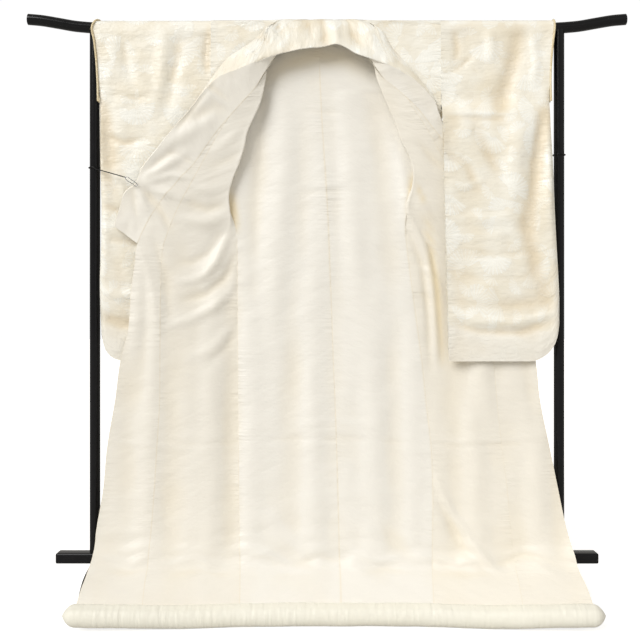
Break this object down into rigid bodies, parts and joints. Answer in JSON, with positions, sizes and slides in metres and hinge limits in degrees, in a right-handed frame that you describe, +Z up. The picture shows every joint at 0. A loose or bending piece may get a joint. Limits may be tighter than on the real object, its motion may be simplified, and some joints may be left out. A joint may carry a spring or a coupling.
{
  "type": "wedding kimono on a kimono stand",
  "caption": "Long-sleeved ivory wedding kimono hung open on a black stand, white lining forward, padded hem roll spread on the floor.",
  "frame": {"origin": "on the floor under the middle of the whole part", "axes": "+X to the viewer's right along the top bar, +Y away from the viewer, +Z up"},
  "size_m": [1.7588, 0.3928, 1.7439],
  "materials": {
    "ivory_silk": "satin, tone on tone woven figures",
    "white_lining": "soft silk sheen",
    "cuff_silk": "satin",
    "black_lacquer": "gloss",
    "bright_steel": "bright"
  },
  "bodies": {
    "root": {"body_left": "ivory_silk", "body_right": "ivory_silk", "overlap_left": "ivory_silk", "overlap_right": "ivory_silk", "collar": "ivory_silk", "sleeve_left": "ivory_silk", "sleeve_right": "ivory_silk", "body_lining_left": "white_lining", "body_lining_right": "white_lining", "overlap_lining_left": "white_lining", "overlap_lining_right": "white_lining", "collar_lining": "white_lining", "hem_roll": "white_lining", "cuff_left": "cuff_silk", "cuff_right": "cuff_silk", "bar": "black_lacquer", "upright_left": "black_lacquer", "upright_right": "black_lacquer", "rail": "black_lacquer", "foot_left": "black_lacquer", "foot_right": "black_lacquer", "tie_band_left": "black_lacquer", "tie_band_right": "black_lacquer", "tie_cord": "black_lacquer", "tie_pin": "bright_steel"}
  },
  "joints": []
}
